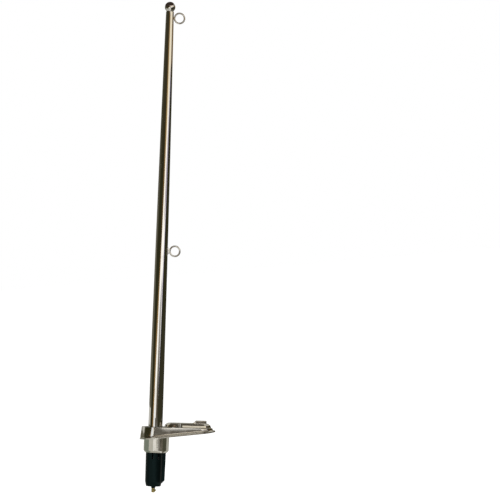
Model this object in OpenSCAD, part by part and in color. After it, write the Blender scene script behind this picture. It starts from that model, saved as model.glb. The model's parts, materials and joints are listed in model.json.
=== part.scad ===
// Plug-in stern flagpole: a tapered, mirror-polished pole in a raked deck base with a swing cover.
// Millimetres. The deck is the plane z = 0, +Z is square to it, +X runs from the socket towards
// the open cover, and the origin is the middle of the base's flat underside.
// The wedge's top face and the pole's axis are square to each other and lean by the rake.

/* [Deck base] */
// Rake: angle between the pole and a line square to the deck, in degrees
rake = 7; // [0:1:10]
// Height of the wedge's top face above the deck at the cover's pivot
base_mid_h = 14.6; // [14:0.2:22]
// Distance from the socket's axis to the cover's pivot
pivot_span = 39; // [37.5:0.5:48]
// Radius of the round ends of the deck lip
lip_r = 29.5; // [28.5:0.5:36]
// Thickness of the deck lip at its rim
lip_t = 2.4; // [1.6:0.2:3.4]
// Radius of the concave fillet between the lip and the wall
wall_fillet_r = 3.6; // [2:0.2:4.2]
// Distance from the lip's rim in to the foot of the wall
lip_reach = 4.5; // [3:0.1:5]
// Draft of the wall, in degrees from square to the deck
wall_draft = 3; // [0:0.5:4]
// Thickness of metal over the pocket in the underside
shell_t = 3.2; // [2:0.2:4]
// Width of the flat rim around the pocket in the underside
rim_w = 7.5; // [6.5:0.5:9]
// Radius of the boss that carries the pivot screw
pivot_boss_r = 8; // [7.5:0.5:10]
// Width of the solid metal that joins the barrel to the flange
barrel_web = 3; // [2:0.5:6]

/* [Barrel and socket hole] */
// Radius of the hole in the top face
hole_r = 18.4; // [18:0.2:20]
// Bevel around the edge of that hole
hole_bevel = 0.8; // [0.3:0.1:1.2]
// Depth from the top face to the ledge that carries the socket's flange
ledge_depth = 11; // [10:0.5:13]
// Outer radius of the barrel
barrel_r = 22.6; // [22.4:0.2:26]
// Distance of the barrel's axis from the socket's axis, towards the cover
barrel_offset = 2.8; // [2.5:0.1:3.2]
// Growth of the barrel's radius from its turned length up to the flange
barrel_flare = 0.5; // [0.3:0.1:1]
// Length of the barrel below the deck, along the socket's axis
barrel_len = 25.8; // [20:0.2:34]
// Bevel around the barrel's lower end, across it
barrel_bevel = 2.2; // [1:0.1:3]
// Bevel around the barrel's lower end, along it
barrel_bevel_h = 3.4; // [1:0.2:5]

/* [Deck screws] */
// Distance of each deck screw hole from the cover's edge, towards the middle
screw_inset = 3.2; // [2.6:0.1:3.6]
// Radius of the screw holes
screw_hole_r = 2.6; // [2:0.1:2.8]
// Radius of the countersinks
countersink_r = 4.4; // [3.6:0.1:4.4]

/* [Swing cover] */
// Radius of the cover's round ends at its foot
cover_r = 23; // [21.5:0.1:23.4]
// Radius of the ends of its flat top
cover_top_r = 16.9; // [14:0.1:17.4]
// Height of the cover
cover_h = 7.4; // [6:0.2:10]
// Height at which its side turns into the bevel
cover_side_h = 4.4; // [2.5:0.1:5]
// Amount by which the side leans in below the bevel
cover_side_in = 1.4; // [0.4:0.1:2]
// Thickness of the thin rim at its foot
cover_rim_t = 0.9; // [0.5:0.1:1.4]
// Thickness of the cover's wall
cover_wall = 2.2; // [1.6:0.1:2.4]
// Radius of the screw notches in its sides
notch_r = 6.5; // [5.5:0.1:6.8]
// Gap between the cover and the base's top face
cover_gap = 0.3; // [0.2:0.1:0.5]
// Start of the thumb rib, from the pivot
rib_start = 27.5; // [24:0.5:30]
// Length of the thumb rib
rib_len = 26; // [20:0.5:26]
// Width of the thumb rib
rib_w = 4.2; // [3:0.2:6]
// Height of the thumb rib above the cover
rib_h = 5.4; // [3:0.2:6]
// Length of the ramp at the thumb rib's near end
rib_ramp = 7; // [4:0.5:9]

/* [Pivot screw] */
// Radius of the screw's shank
pivot_r = 3; // [2.5:0.1:3.4]
// Radius of its head
pivot_head_r = 5.2; // [4.6:0.1:5.4]
// Thickness of its head
pivot_head_t = 2.6; // [2:0.1:3]
// Thickness of the spring washer under its head
spring_washer_t = 0.8; // [0.6:0.1:1.2]

/* [Socket] */
// Thickness of the socket's flange, which lies on the ledge
socket_flange_t = 2.5; // [2:0.1:4]
// Radius of the socket's body at its top
socket_r = 15.8; // [15.2:0.1:16.2]
// Amount by which the body's radius shrinks towards its lower end
socket_draft = 0.7; // [0.2:0.1:1]
// Length of the body below the barrel
socket_len = 60.6; // [50:0.2:74]
// Thickness of the socket's floor
socket_floor_t = 9.8; // [6:0.2:14]
// Bevel at the foot of the body, along it
socket_bevel_h = 8; // [4:0.5:12]
// Bevel at the foot of the body, across it
socket_bevel_w = 1.8; // [1:0.1:2.4]
// Height of the side rib over the body at its top
side_rib_h = 5; // [3.6:0.1:5.4]
// Height of the side rib over the body at its lower end
side_rib_low_h = 4.4; // [2:0.1:4.4]
// Width of the side rib
side_rib_w = 8.4; // [6:0.2:10]
// Distance of the side rib's lower end from the foot of the body
side_rib_lift = 10.5; // [6:0.5:16]
// Length of the slope at the side rib's lower end
side_rib_slope = 4.5; // [2:0.5:6]
// Width of the slots beside each spring tab
tab_slot_w = 2.3; // [1.5:0.1:3]
// Distance between the middles of a tab's two slots
tab_slot_pitch = 10.4; // [8:0.1:12]
// Length of the slots that shows below the barrel
tab_slot_show = 12; // [8:0.5:16]
// Radius of the boss under the socket
foot_boss_r = 4.6; // [4:0.1:6]
// Height of that boss
foot_boss_h = 3.4; // [2:0.1:5]

/* [Terminal] */
// Radius of the contact stud
stud_r = 1.6; // [1.2:0.1:2]
// Radius of the brass terminal block
block_r = 3.2; // [2.9:0.1:4]
// Height of the brass terminal block
block_h = 7.8; // [5:0.1:9]
// Radius of the clamp screw's shank
clamp_r = 1.1; // [0.8:0.1:1.3]
// Radius of the clamp screw's head
clamp_head_r = 1.9; // [1.6:0.1:2.4]
// Thickness of the clamp screw's head
clamp_head_t = 1.5; // [1:0.1:2.4]

/* [Pole] */
// Height of the ball's top above the top face, along the pole
pole_h = 762; // [600:1:1000]
// Diameter of the pole at its foot
pole_foot_d = 25.4; // [24:0.1:25.4]
// Diameter of the pole at its top
pole_top_d = 14.2; // [13:0.1:17]
// Wall of the tube
tube_wall = 1.2; // [1:0.1:1.6]
// Diameter of the ball
ball_d = 19; // [17:0.5:24]
// Height of the neck between tube and ball
neck_h = 1.4; // [0.8:0.1:3]
// Diameter of the neck
neck_d = 12.6; // [11:0.1:12.8]
// Length of the finial's spigot inside the tube
spigot_len = 16; // [10:0.5:24]

/* [Flag rings] */
// Outer diameter of each ring
ring_d = 21; // [18:0.5:28]
// Diameter of the ring's wire
wire_d = 3; // [2.4:0.1:3.6]
// Height of the upper ring's middle above the top face
upper_ring_h = 733; // [400:1:950]
// Height of the lower ring's middle above the top face
lower_ring_h = 315; // [120:1:380]
// Gap between the pole and the lower ring, filled by its tab
lower_tab_gap = 2.4; // [1.5:0.1:4]
// Radius of the weld bead that holds the upper ring
weld_r = 2.6; // [2:0.1:3]
// Thickness of the lower ring's tab
tab_t = 2.4; // [1.6:0.1:2.8]
// Half the height of that tab at the pole
tab_half = 7; // [4:0.5:9]
// Half the height of that tab at the ring
tab_end_half = 2.2; // [1.5:0.1:3]

/* [Plug] */
// Step from the pole's foot in to the plug's collar
collar_step = 0.6; // [0.3:0.1:1]
// Radius of the plug's shank
shank_r = 10; // [9.6:0.1:10]
// Depth of the plug's tip below the top face
plug_depth = 52; // [40:0.5:58]
// Length of the plug inside the tube
plug_in_tube = 22; // [14:0.5:30]
// Width of the plug's key
key_w = 4; // [3:0.1:5]
// Height of the plug's key over its shank
key_h = 2.4; // [1.6:0.1:2.6]

/* [Hidden] */

$fn = 96;

// A cut runs this far past the face it leaves
past = 1;
// Room between pieces of one body that are pressed or screwed together
fit = 0.05;
// Room between the plug and the inside of the tube
plug_fit = 0.1;
// Room between pieces that slide in each other
slide_gap = 0.3;
// Room between the pivot screw and its hole
pivot_gap = 0.1;
// Room for the pivot screw's head and spring washer in their counterbore
head_gap = 0.6;
// Room above the wedge for shapes that its top face trims
tall = 60;

// Rounding of the lip's rim at the deck and at its upper edge
lip_round_low = 0.5;
lip_round_top = 0.8;
// The wall's fillet starts at this angle, where it meets the lip, and ends at the wall's draft
fillet_start = 258;
// Distance of the barrel's turned length from the flange
root_gap = 0.5;
// Metal around the screw holes under the flange
screw_boss_wall = 3;
// Length of the tab slots that the barrel hides
tab_slot_hidden = 6;
// How deep the side rib and the tab slots reach into the socket's wall
rib_root = 2;
// Taper of the boss under the socket
foot_boss_taper = 1;
// Contact button in the socket's bore
button_r = 3.6;
button_t = 2;
// Closed end and edge bevel of the terminal block
block_end_t = 1;
block_bevel = 0.8;
// Screwdriver slot of the clamp screw
clamp_slot_w = 0.6;
clamp_slot_depth = 0.5;
// Small steps of the cover's outline: over its rim, and at the edge of its flat top
cover_rim_step = 0.4;
cover_rim_rise = 0.2;
cover_edge_step = 0.6;
cover_edge_drop = 0.25;
// Far end of the thumb rib
rib_end_ramp = 2;
// Metal around the pivot screw's thread in the cover, and over its end
thread_wall = 3;
thread_cap = 0.6;
// Hexagon socket in the pivot screw's head
hex_r = 1.8;
hex_depth = 1.4;
// Bevel at the plug's tip, and distance of the key's end from the tip
plug_bevel = 2;
key_lift = 6;
// Shape of the tube's taper: 1 is a straight cone, more keeps its foot thicker
taper_power = 1.5;
// Distance of the weld bead's middle from the tube's surface
weld_out = 0.6;

// Radius of the wall's round ends where it leaves the fillet
wall_foot_r = lip_r - lip_reach;
// The screws stand clear of the notches' walls
screw_y = cover_r - screw_inset;

// Levels along the socket's axis, from the top face
top_at_socket = base_mid_h + pivot_span * sin(rake);
deck_w = -top_at_socket / cos(rake);
barrel_end_w = deck_w - barrel_len;
ledge_w = -ledge_depth;
socket_top_w = ledge_w + socket_flange_t;
socket_end_w = barrel_end_w - socket_len;
side_rib_end_w = socket_end_w + side_rib_lift;
// The barrel's turned length ends just under the lowest point of the flange that meets it
barrel_root_w = ((barrel_offset - barrel_r - pivot_span) * sin(rake) - base_mid_h) / cos(rake)
    - root_gap;
foot_w = socket_end_w - foot_boss_h;
bore_floor_w = socket_end_w + socket_floor_t;
stud_end_w = foot_w - block_h + block_end_t;
tab_slot_top_w = barrel_end_w + tab_slot_hidden;
tab_slot_end_w = barrel_end_w - tab_slot_show;

// Socket: its flange fills the hole, its bore takes the plug's shank
socket_flange_r = hole_r - slide_gap;
socket_low_r = socket_r - socket_draft;
socket_bore_r = shank_r + slide_gap;
side_rib_r = socket_r + side_rib_h;
side_rib_low_r = socket_low_r + side_rib_low_h;
key_r = shank_r + key_h;

// Clearance bore and rib slot in the barrel
body_hole_r = socket_r + slide_gap;
rib_slot_r = side_rib_r + slide_gap;
rib_slot_w = side_rib_w + 2 * slide_gap;

// Pivot screw: its head lies in a counterbore of the underside
pivot_hole_r = pivot_r + pivot_gap;
head_hole_r = pivot_head_r + head_gap;
head_hole_depth = 4.4;
pivot_head_top = head_hole_depth - base_mid_h / cos(rake) - spring_washer_t - slide_gap;
pivot_boss_top = cover_h - cover_wall;
pivot_thread_top = pivot_boss_top - thread_cap;
pivot_boss_cover_r = pivot_r + thread_wall;

// Pole
foot_r = pole_foot_d / 2;
collar_r = foot_r - collar_step;
top_r = pole_top_d / 2;
ball_r = ball_d / 2;
ball_w = pole_h - ball_r;
neck_in_ball = ball_r - sqrt(ball_r * ball_r - neck_d * neck_d / 4);
tube_len = ball_w - ball_r + neck_in_ball - neck_h;
tube_steps = 14;
ring_mid_r = (ring_d - wire_d) / 2;
// The plug's collar rests just above the socket's flange
collar_foot_w = socket_top_w + slide_gap;
collar_head_w = 0;

// Outer radius of the tube at height w: the taper grows towards the top
function tube_r(w) = foot_r - (foot_r - top_r) * pow(w / tube_len, taper_power);
// Distance of a ring's middle from the pole's axis, for a gap between wire and pole
function ring_x(w, gap) = tube_r(w) + gap + ring_d / 2;

// Points of an arc in the profile plane
function arc(cx, cy, r, a0, a1, n = 8) =
    [for (i = [0 : n]) let (a = a0 + (a1 - a0) * i / n) [cx + r * cos(a), cy + r * sin(a)]];

// Frame of the wedge's top face, with the cover's pivot as its origin
module on_top_face() {
    translate([0, 0, base_mid_h]) rotate([0, rake, 0]) children();
}

// Frame of the socket and the pole, at the top face
module on_socket_axis() {
    on_top_face() translate([-pivot_span, 0, 0]) children();
}

// A solid swept round a stadium: both round ends and the straight stretch between them
module round_ended(profile, x0, x1) {
    translate([x0, 0, 0]) rotate([0, 0, 90]) rotate_extrude(angle = 180) polygon(profile);
    translate([x1, 0, 0]) rotate([0, 0, -90]) rotate_extrude(angle = 180) polygon(profile);
    for (side = [0, 1])
        mirror([0, side, 0])
            translate([x0, 0, 0]) rotate([90, 0, 90]) linear_extrude(x1 - x0) polygon(profile);
}

// A plain stadium prism
module stadium(r, x0, x1, h) {
    linear_extrude(h) {
        translate([x0, 0]) circle(r);
        translate([x1, 0]) circle(r);
        translate([x0, -r]) square([x1 - x0, 2 * r]);
    }
}

// Everything below a plane parallel to the top face and this far above it
module below_top_face(offset_w) {
    on_top_face() translate([-tall * 2, -tall, offset_w - tall]) cube([tall * 4, tall * 2, tall]);
}

// Lip, fillet and drafted wall, in section from the middle outwards
function base_profile() = concat(
    [[0, 0], [lip_r - lip_round_low, 0], [lip_r, lip_round_low],
     [lip_r, lip_t - lip_round_top], [lip_r - lip_round_top, lip_t]],
    arc(wall_foot_r + wall_fillet_r, lip_t + wall_fillet_r, wall_fillet_r,
        fillet_start, 180 + wall_draft),
    [[wall_foot_r - (tall / 2) * tan(wall_draft), tall / 2], [0, tall / 2]]
);

module wedge() {
    intersection() {
        round_ended(base_profile(), -pivot_span, pivot_span);
        below_top_face(0);
    }
}

module barrel() {
    difference() {
        on_socket_axis() translate([barrel_offset, 0, barrel_end_w]) {
            cylinder(r1 = barrel_r - barrel_bevel, r2 = barrel_r, h = barrel_bevel_h);
            translate([0, 0, barrel_bevel_h])
                cylinder(r = barrel_r, h = barrel_root_w - barrel_end_w - barrel_bevel_h);
            translate([0, 0, barrel_root_w - barrel_end_w])
                cylinder(r1 = barrel_r, r2 = barrel_r + barrel_flare, h = -barrel_root_w - shell_t);
        }
        // Nothing of the barrel stands above the wedge
        on_top_face() translate([-tall * 2, -tall, -shell_t]) cube([tall * 4, tall * 2, tall]);
    }
}

// Pocket under the flange, clear of the barrel and the bosses
module underside_pocket() {
    difference() {
        intersection() {
            translate([0, 0, -past]) stadium(lip_r - rim_w, -pivot_span, pivot_span, tall / 2);
            below_top_face(-shell_t);
        }
        on_socket_axis() translate([barrel_offset, 0, -tall])
            cylinder(r = barrel_r + barrel_web, h = tall * 2);
        on_top_face() translate([0, 0, -tall]) cylinder(r = pivot_boss_r, h = tall * 2);
        for (side = [-1, 1])
            translate([0, side * screw_y, -tall]) cylinder(r = screw_hole_r + screw_boss_wall, h = tall * 2);
    }
}

module base_casting() {
    color("silver") difference() {
        union() {
            difference() {
                wedge();
                underside_pocket();
            }
            barrel();
        }
        on_socket_axis() {
            // Recess in the top face, down to the ledge
            translate([0, 0, ledge_w]) cylinder(r = hole_r, h = tall);
            translate([0, 0, -hole_bevel])
                cylinder(r1 = hole_r, r2 = hole_r + 2 * hole_bevel, h = 2 * hole_bevel);
            // Bore for the socket's body and the slot for its side rib
            translate([0, 0, barrel_end_w - past])
                cylinder(r = body_hole_r, h = tall * 2);
            translate([0, -rib_slot_w / 2, barrel_end_w - past])
                cube([rib_slot_r, rib_slot_w, ledge_w - slide_gap - barrel_end_w + past]);
        }
        for (side = [-1, 1]) translate([0, side * screw_y, 0]) {
            translate([0, 0, -past]) cylinder(r = screw_hole_r, h = tall / 2);
            translate([0, 0, base_mid_h - (countersink_r - screw_hole_r)])
                cylinder(r1 = screw_hole_r, r2 = countersink_r + past,
                         h = countersink_r - screw_hole_r + past);
        }
        // Pivot hole, with a counterbore from below for the screw's head
        on_top_face() {
            translate([0, 0, -tall / 2]) cylinder(r = pivot_hole_r, h = tall);
            translate([0, 0, -base_mid_h / cos(rake) - tall / 2])
                cylinder(r = head_hole_r, h = tall / 2 + head_hole_depth);
        }
    }
}

// One pair of slots through the socket's wall, with a spring tab between them
module tab_slots() {
    for (side = [-1, 1])
        translate([side * tab_slot_pitch / 2 - tab_slot_w / 2, -socket_r - past, tab_slot_end_w])
            cube([tab_slot_w, socket_r + past - socket_bore_r / 2,
                  tab_slot_top_w - tab_slot_end_w]);
}

module side_rib() {
    rotate([90, 0, 0]) translate([0, 0, -side_rib_w / 2]) linear_extrude(side_rib_w)
        polygon([
            [socket_low_r - rib_root, side_rib_end_w - side_rib_slope],
            [socket_low_r, side_rib_end_w - side_rib_slope],
            [side_rib_low_r, side_rib_end_w],
            [side_rib_r, ledge_w - 2 * slide_gap],
            [socket_low_r - rib_root, ledge_w - 2 * slide_gap]
        ]);
}

module socket_body() {
    color("#1b1f20") on_socket_axis() difference() {
        union() {
            // Flange on the ledge
            translate([0, 0, ledge_w]) cylinder(r = socket_flange_r, h = socket_flange_t);
            // Drafted body, bevelled at its foot
            translate([0, 0, socket_end_w + socket_bevel_h])
                cylinder(r1 = socket_low_r, r2 = socket_r,
                         h = ledge_w - socket_end_w - socket_bevel_h);
            translate([0, 0, socket_end_w])
                cylinder(r1 = socket_low_r - socket_bevel_w, r2 = socket_low_r, h = socket_bevel_h);
            side_rib();
            translate([0, 0, foot_w])
                cylinder(r1 = foot_boss_r - foot_boss_taper, r2 = foot_boss_r, h = foot_boss_h);
        }
        translate([0, 0, bore_floor_w]) cylinder(r = socket_bore_r, h = -bore_floor_w);
        // Keyway for the plug's key
        translate([0, -key_w / 2 - slide_gap, bore_floor_w])
            cube([key_r + slide_gap, key_w + 2 * slide_gap, -bore_floor_w]);
        tab_slots();
        mirror([0, 1, 0]) tab_slots();
        translate([0, 0, foot_w - past]) cylinder(r = stud_r + fit, h = tall);
    }
}

// Brass stud through the socket's floor, with its contact button inside the bore
module contact_stud() {
    color("goldenrod") on_socket_axis() {
        translate([0, 0, stud_end_w]) cylinder(r = stud_r, h = bore_floor_w + button_t - stud_end_w);
        translate([0, 0, bore_floor_w]) cylinder(r = button_r, h = button_t);
    }
}

module terminal_block() {
    color("goldenrod") on_socket_axis() difference() {
        translate([0, 0, foot_w - block_h]) {
            cylinder(r1 = block_r - block_bevel, r2 = block_r, h = block_bevel);
            translate([0, 0, block_bevel]) cylinder(r = block_r, h = block_h - block_bevel);
        }
        translate([0, 0, stud_end_w - fit]) cylinder(r = stud_r + fit, h = block_h);
        // Cross hole for the clamp screw
        translate([stud_r / 2, 0, foot_w - block_h / 2]) rotate([0, 90, 0])
            cylinder(r = clamp_r + fit, h = block_r + past);
    }
}

module clamp_screw() {
    color("darkgoldenrod") on_socket_axis() translate([0, 0, foot_w - block_h / 2])
        rotate([0, 90, 0]) {
            translate([0, 0, stud_r + fit])
                cylinder(r = clamp_r, h = block_r + fit - stud_r);
            difference() {
                translate([0, 0, block_r + fit]) cylinder(r = clamp_head_r, h = clamp_head_t);
                translate([-clamp_head_r - past, -clamp_slot_w / 2,
                           block_r + fit + clamp_head_t - clamp_slot_depth])
                    cube([2 * (clamp_head_r + past), clamp_slot_w, past]);
            }
        }
}

function cover_profile() = [
    [0, 0], [cover_r, 0], [cover_r, cover_rim_t],
    [cover_r - cover_rim_step, cover_rim_t + cover_rim_rise],
    [cover_r - cover_side_in, cover_side_h],
    [cover_top_r + cover_edge_step, cover_h - cover_edge_drop],
    [cover_top_r, cover_h], [0, cover_h]
];

function cover_hollow_profile() = [
    [0, -past], [cover_r - cover_side_in - cover_wall, -past],
    [cover_r - cover_side_in - cover_wall, cover_side_h - cover_wall / 2],
    [cover_top_r - cover_wall / 2, cover_h - cover_wall], [0, cover_h - cover_wall]
];

// Thumb rib: a ramp at the near end and a steep face at the far end
module thumb_rib() {
    translate([0, 0, cover_h]) intersection() {
        rotate([90, 0, 0]) translate([0, 0, -rib_w]) linear_extrude(2 * rib_w)
            polygon([
                [rib_start, -cover_wall / 2],
                [rib_start, 0],
                [rib_start + rib_ramp, rib_h],
                [rib_start + rib_len - rib_end_ramp, rib_h],
                [rib_start + rib_len, 0],
                [rib_start + rib_len, -cover_wall / 2]
            ]);
        translate([0, 0, -cover_wall])
            stadium(rib_w / 2, rib_start + rib_w / 2, rib_start + rib_len - rib_w / 2, 2 * rib_h);
    }
}

module cover() {
    color("gainsboro") on_top_face() translate([0, 0, cover_gap]) difference() {
        union() {
            difference() {
                round_ended(cover_profile(), 0, pivot_span);
                difference() {
                    round_ended(cover_hollow_profile(), 0, pivot_span);
                    // Pivot boss, and the walls round the notches
                    cylinder(r = pivot_boss_cover_r, h = cover_h);
                    for (side = [-1, 1])
                        translate([0, side * cover_r, 0])
                            cylinder(r = notch_r + cover_wall, h = cover_h);
                }
            }
            thumb_rib();
        }
        for (side = [-1, 1])
            translate([0, side * cover_r, -past]) cylinder(r = notch_r, h = cover_h + 2 * past);
        // Blind hole for the pivot screw
        translate([0, 0, -past]) cylinder(r = pivot_r + fit, h = pivot_thread_top + past + fit);
    }
}

// Shoulder screw from below, threaded into the cover's boss
module pivot_screw() {
    color("darkgray") on_top_face() {
        translate([0, 0, pivot_head_top])
            cylinder(r = pivot_r, h = cover_gap + pivot_thread_top - pivot_head_top);
        difference() {
            translate([0, 0, pivot_head_top - pivot_head_t])
                cylinder(r = pivot_head_r, h = pivot_head_t);
            translate([0, 0, pivot_head_top - pivot_head_t - past])
                cylinder(r = hex_r, h = hex_depth + past, $fn = 6);
        }
    }
}

module spring_washer() {
    color("dimgray") on_top_face() translate([0, 0, pivot_head_top]) difference() {
        cylinder(r = pivot_head_r, h = spring_washer_t);
        translate([0, 0, -past]) cylinder(r = pivot_r + fit, h = spring_washer_t + 2 * past);
    }
}

module pole_tube() {
    heights = [for (i = [0 : tube_steps]) tube_len * i / tube_steps];
    color("silver") on_socket_axis() rotate_extrude()
        polygon(concat(
            [for (w = heights) [tube_r(w), w]],
            [for (i = [0 : tube_steps]) let (w = heights[tube_steps - i]) [tube_r(w) - tube_wall, w]]
        ));
}

// Black plug pressed into the pole's foot: collar, keyed shank, and a spigot up inside the tube
module pole_plug() {
    color("#15181a") on_socket_axis() {
        translate([0, 0, collar_head_w])
            cylinder(r1 = foot_r - tube_wall - plug_fit, r2 = tube_r(plug_in_tube) - tube_wall - plug_fit,
                     h = plug_in_tube);
        translate([0, 0, collar_foot_w]) cylinder(r = collar_r, h = collar_head_w - collar_foot_w);
        translate([0, 0, plug_bevel - plug_depth])
            cylinder(r = shank_r, h = collar_foot_w + plug_depth - plug_bevel);
        translate([0, 0, -plug_depth])
            cylinder(r1 = shank_r - plug_bevel, r2 = shank_r, h = plug_bevel);
        translate([0, -key_w / 2, key_lift - plug_depth])
            cube([key_r, key_w, plug_depth - key_lift + collar_foot_w]);
    }
}

module finial_ball() {
    color("silver") on_socket_axis() {
        translate([0, 0, ball_w]) sphere(r = ball_r);
        translate([0, 0, tube_len]) cylinder(d = neck_d, h = neck_h + ball_r / 2);
        translate([0, 0, tube_len - spigot_len])
            cylinder(r = top_r - tube_wall - fit, h = spigot_len + past);
    }
}

// Wire ring that stands in the plane of the pole and the base
module ring_at(w, gap) {
    translate([ring_x(w, gap), 0, w]) rotate([90, 0, 0])
        rotate_extrude() translate([ring_mid_r, 0]) circle(d = wire_d, $fn = 32);
}

module upper_ring() {
    color("silver") on_socket_axis() ring_at(upper_ring_h, fit);
}

module lower_ring() {
    color("silver") on_socket_axis() ring_at(lower_ring_h, lower_tab_gap);
}

// Weld bead between the upper ring and the pole
module upper_ring_weld() {
    color("darkgray") on_socket_axis() difference() {
        translate([tube_r(upper_ring_h) + weld_out, 0, upper_ring_h]) sphere(r = weld_r);
        ring_at(upper_ring_h, fit);
        pole_clearance();
    }
}

// Small triangular tab between the pole and the lower ring
module lower_ring_tab() {
    tab_end_x = tube_r(lower_ring_h) + lower_tab_gap + wire_d / 2;
    color("silver") on_socket_axis() difference() {
        rotate([90, 0, 0]) translate([0, 0, -tab_t / 2]) linear_extrude(tab_t)
            polygon([
                [tube_r(lower_ring_h) - tube_wall, lower_ring_h - tab_half],
                [tab_end_x, lower_ring_h - tab_end_half],
                [tab_end_x, lower_ring_h + tab_end_half],
                [tube_r(lower_ring_h) - tube_wall, lower_ring_h + tab_half]
            ]);
        ring_at(lower_ring_h, lower_tab_gap);
        pole_clearance();
    }
}

// The tube's solid outline, for trimming what is welded to it
module pole_clearance() {
    heights = [for (i = [0 : tube_steps]) tube_len * i / tube_steps];
    rotate_extrude()
        polygon(concat([[0, 0]], [for (w = heights) [tube_r(w) + fit, w]], [[0, tube_len]]));
}

base_casting();
socket_body();
contact_stud();
terminal_block();
clamp_screw();
cover();
pivot_screw();
spring_washer();
pole_tube();
pole_plug();
finial_ball();
upper_ring();
upper_ring_weld();
lower_ring();
lower_ring_tab();
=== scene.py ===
import json
import math

import bmesh
import bpy
from mathutils import Matrix, Vector


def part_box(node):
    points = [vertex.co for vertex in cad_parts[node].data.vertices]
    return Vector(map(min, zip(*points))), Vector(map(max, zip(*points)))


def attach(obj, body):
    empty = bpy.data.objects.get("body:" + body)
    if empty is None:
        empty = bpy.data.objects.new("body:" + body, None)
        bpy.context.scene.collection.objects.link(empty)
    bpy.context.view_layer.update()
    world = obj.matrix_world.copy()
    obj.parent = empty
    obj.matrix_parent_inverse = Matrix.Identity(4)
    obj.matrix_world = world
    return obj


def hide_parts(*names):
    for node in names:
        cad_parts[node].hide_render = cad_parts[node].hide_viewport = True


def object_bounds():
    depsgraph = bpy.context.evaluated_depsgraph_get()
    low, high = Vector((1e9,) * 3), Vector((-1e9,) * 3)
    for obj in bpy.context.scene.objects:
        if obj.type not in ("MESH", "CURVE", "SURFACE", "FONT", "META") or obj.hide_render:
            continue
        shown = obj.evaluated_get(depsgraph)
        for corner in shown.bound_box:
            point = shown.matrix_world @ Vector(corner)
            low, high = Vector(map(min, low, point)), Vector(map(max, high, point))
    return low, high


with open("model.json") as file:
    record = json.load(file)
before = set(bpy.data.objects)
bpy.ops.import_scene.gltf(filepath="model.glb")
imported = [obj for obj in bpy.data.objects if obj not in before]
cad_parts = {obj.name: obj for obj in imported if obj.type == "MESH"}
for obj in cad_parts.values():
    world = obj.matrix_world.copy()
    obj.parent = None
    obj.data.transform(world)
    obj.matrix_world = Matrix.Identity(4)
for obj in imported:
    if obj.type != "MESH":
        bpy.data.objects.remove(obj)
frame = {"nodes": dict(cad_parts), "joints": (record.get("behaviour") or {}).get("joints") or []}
CAD_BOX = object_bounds()

# ---------------------------------------------------------------- what the frame gives
# Pieces are modelled in millimetres and placed in the frame's metres.
MM = 0.001
joints = {joint["name"]: joint for joint in frame["joints"]}
POLE_AXIS = Vector(joints["pole_lift"]["axis"]).normalized()
RAKE = math.atan2(POLE_AXIS.x, POLE_AXIS.z)
PIVOT = Vector(joints["cover_swing"]["pos_m"]) / MM


def corners(node):
    """A CAD node's lowest and highest corners, in millimetres."""
    low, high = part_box(node)
    return low / MM, high / MM


BASE_HIGH = corners("base_casting")[1]
LIP_R = BASE_HIGH.y
PIVOT_SPAN = BASE_HIGH.x - LIP_R
BASE_MID_H = PIVOT.z

# Three places to model in: the deck, the wedge's top face at the pivot, and the socket's axis
DECK = Matrix.Scale(MM, 4)
TOP_FACE = DECK @ Matrix.Translation(PIVOT) @ Matrix.Rotation(RAKE, 4, "Y")
SOCKET_AXIS = TOP_FACE @ Matrix.Translation((-PIVOT_SPAN, 0, 0))
TO_SOCKET_AXIS = SOCKET_AXIS.inverted()


def along_pole(point_mm):
    """A point of the frame, in millimetres, as seen from the socket's axis."""
    return TO_SOCKET_AXIS @ (point_mm * MM)


# ---------------------------------------------------------------- sizes, in millimetres
# Steps are counts; powers, curves, shares and the flare's slope at its foot have no unit.
# Deck base
LIP_T, LIP_REACH, LIP_ROUND_LOW, LIP_ROUND = 2.4, 4.5, 0.5, 0.8
WALL_FILLET_R, WALL_STEPS = 3.6, 12
WALL_CROWN, SOCKET_FLARE, SOCKET_LEAN, FLARE_CURVE, FLARE_SLOPE = 0.45, 2.9, 0.7, 1.15, 0.2
SHELL_T, RIM_W, PIVOT_BOSS_R, BARREL_WEB = 3.2, 7.5, 8, 3
HOLE_R, LEDGE_DEPTH = 18.4, 11
BARREL_R, BARREL_OFFSET, BARREL_LEN = 22.6, 2.8, 25.8
BARREL_BEVEL, BARREL_BEVEL_H, BARREL_FLARE = 2.2, 3.4, 0.5
SCREW_HOLE_R, COUNTERSINK_R, SCREW_INSET = 2.6, 4.4, 3.2
HEAD_HOLE_R, HEAD_HOLE_DEPTH, PIVOT_HOLE_R = 5.8, 4.4, 3.1
EDGE = 0.55

# Swing cover
COVER_R, COVER_TOP_R, COVER_H, COVER_SIDE_H, COVER_SIDE_IN = 23, 16.9, 7.4, 4.4, 1.4
COVER_RIM_T, COVER_WALL, COVER_GAP = 0.9, 2.2, 0.3
NOTCH_R, PIVOT_R = 6.5, 3
RIB_START, RIB_LEN, RIB_W, RIB_H, RIB_RAMP_LEN, RIB_DOME_R = 27.5, 26, 4.2, 5.4, 7, 1.6
RIB_LOW_SHARE, COVER_EDGE = 0.3, 0.4

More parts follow.
